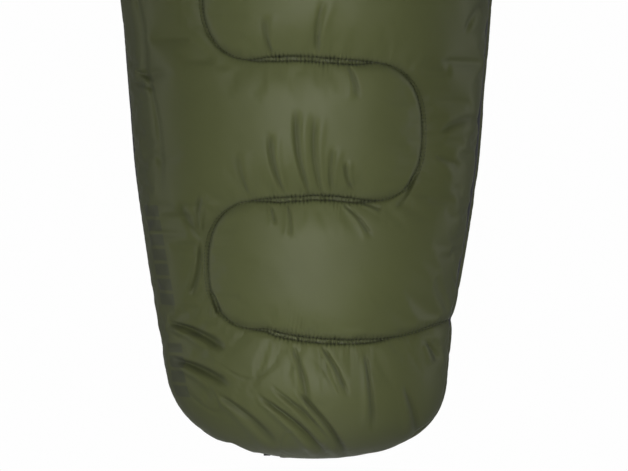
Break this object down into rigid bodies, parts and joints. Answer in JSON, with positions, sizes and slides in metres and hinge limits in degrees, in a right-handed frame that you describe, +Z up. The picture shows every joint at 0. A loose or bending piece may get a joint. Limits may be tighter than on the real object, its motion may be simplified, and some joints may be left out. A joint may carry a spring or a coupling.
{
  "type": "mummy sleeping bag",
  "caption": "Quilted mummy sleeping bag lying on its back, with a side zip whose top panel folds open, a drawcord hood with a cord lock, and hanging loops at the foot.",
  "frame": {"origin": "on the ground under the middle of the bag's length, halfway between its sides", "axes": "+Y from the foot to the head, +Z up, +X towards the closed side seam, so the zip is on the -X side"},
  "size_m": [0.8143, 2.1995, 0.2949],
  "materials": {
    "shell_cloth": "olive satin-faced woven polyester, quilted in serpentine lines",
    "lining_cloth": "charcoal woven polyester taffeta",
    "fibre_filling": "white bonded synthetic fibre batting",
    "woven_tape": "black woven tape and webbing",
    "zip_coil": "black nylon coil",
    "zip_metal": "dark coated die-cast metal",
    "cord_cover": "black braided elastic cord",
    "moulded_plastic": "black moulded plastic, fine texture",
    "bright_steel": "bright steel",
    "label_cloth": "white printed-label satin, blank"
  },
  "bodies": {
    "bag": {"bottom_shell": "shell_cloth", "bottom_insulation": "fibre_filling", "bottom_lining": "lining_cloth", "foot_shell": "shell_cloth", "foot_insulation": "fibre_filling", "foot_lining": "lining_cloth", "side_seam_piping": "shell_cloth", "zip_tape_bag": "woven_tape", "zip_tape_foot": "woven_tape", "zip_teeth_bag": "zip_coil", "zip_teeth_foot": "zip_coil", "zip_bottom_stop": "zip_metal", "zip_top_stop_bag": "zip_metal", "zip_draft_tube": "lining_cloth", "zip_tab_loop_patch": "woven_tape", "cord_exit_eyelet": "bright_steel", "cord_tail": "cord_cover", "cord_end_bead": "moulded_plastic", "hanging_loops": "woven_tape", "care_label": "label_cloth"},
    "flap": {"flap_shell": "shell_cloth", "flap_insulation": "fibre_filling", "flap_lining": "lining_cloth", "neck_binding": "woven_tape", "zip_tape_flap": "woven_tape", "zip_teeth_flap": "zip_coil", "zip_top_stop_flap": "zip_metal", "inner_pocket": "lining_cloth"},
    "hood": {"hood_shell": "shell_cloth", "hood_insulation": "fibre_filling", "hood_lining": "lining_cloth", "hood_rim_channel": "shell_cloth", "hood_drawcord": "cord_cover"},
    "slider": {"slider_body": "zip_metal"},
    "pull_outer": {"slider_pull_outer": "zip_metal", "slider_pull_grip": "moulded_plastic"},
    "pull_inner": {"slider_pull_inner": "zip_metal"},
    "tab": {"zip_tab": "shell_cloth", "zip_tab_hook_patch": "woven_tape"},
    "cord_lock": {"cord_lock_barrel": "moulded_plastic", "cord_lock_spring": "bright_steel"},
    "lock_button": {"cord_lock_button": "moulded_plastic"}
  },
  "joints": [
    {"name": "flap_open", "type": "hinge", "parent": "bag", "child": "flap", "pos_m": [0.37021, 0.195, 0.105], "axis": [0.0778, 0.997, 0], "range_deg": [0, 50]},
    {"name": "hood_lift", "type": "hinge", "parent": "bag", "child": "hood", "pos_m": [0, 0.61, 0.11], "axis": [1, 0, 0], "range_deg": [0, 40]},
    {"name": "zip_slider", "type": "slide", "parent": "bag", "child": "slider", "axis": [0.0778, -0.997, 0], "range_m": [-0.776, 0]},
    {"name": "outer_pull_swing", "type": "hinge", "parent": "slider", "child": "pull_outer", "pos_m": [-0.34497, -0.22115, 0.105], "axis": [0, 0, -1], "range_deg": [0, 150]},
    {"name": "inner_pull_swing", "type": "hinge", "parent": "slider", "child": "pull_inner", "pos_m": [-0.33062, -0.22003, 0.105], "axis": [0, 0, 1], "range_deg": [0, 40]},
    {"name": "tab_open", "type": "hinge", "parent": "flap", "child": "tab", "pos_m": [-0.40401, 0.57174, 0.131], "axis": [-0.0778, 0.997, 0], "range_deg": [0, 100]},
    {"name": "cord_lock_slide", "type": "slide", "parent": "bag", "child": "cord_lock", "axis": [0, 1, 0], "range_m": [0, 0.11]},
    {"name": "lock_button_press", "type": "slide", "parent": "cord_lock", "child": "lock_button", "axis": [1, 0, 0], "range_m": [0, 0.004], "stiffness_N_per_m": 900, "deforming": ["cord_lock_spring"]}
  ],
  "couplings": [
    {"joint": "cord_lock_slide", "follows": "hood_lift", "m_per_rad": 0.1575}
  ]
}
